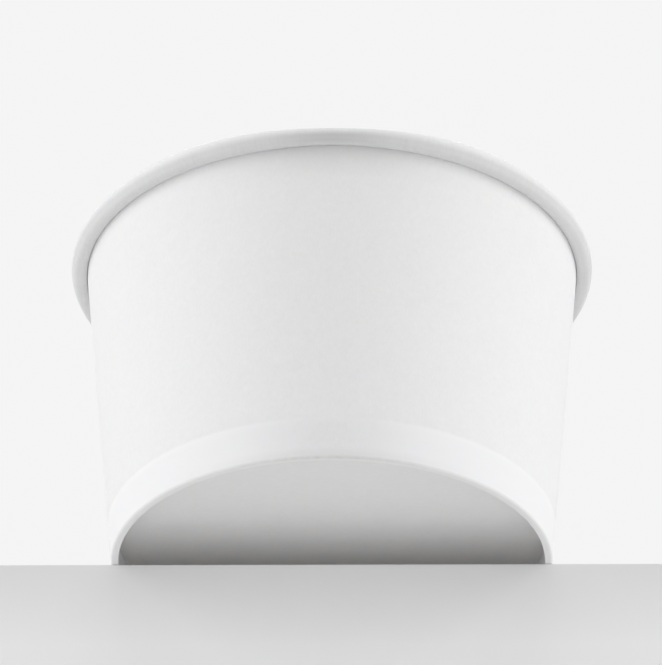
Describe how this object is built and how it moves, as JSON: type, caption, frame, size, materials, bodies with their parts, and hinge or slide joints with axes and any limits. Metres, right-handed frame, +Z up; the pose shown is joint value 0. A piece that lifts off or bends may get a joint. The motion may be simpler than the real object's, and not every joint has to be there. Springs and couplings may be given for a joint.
{
  "type": "paper soup container",
  "caption": "Round paperboard food tub with a tapered wall, rolled rim, lapped seam and recessed base disc, open and without a lid.",
  "frame": {"origin": "centre of the foot ring, on the standing plane", "axes": "+Z up along the tub's axis to the open rim, +Y to the side seam at the back"},
  "size_m": [0.09, 0.09, 0.0583],
  "materials": {
    "wall_board": "white coated paperboard, satin, with a fine mottled grain",
    "base_board": "white uncoated paperboard, matt, with a fine fibre grain"
  },
  "bodies": {
    "root": {"side_wall": "wall_board", "base_disc": "base_board"}
  },
  "joints": []
}
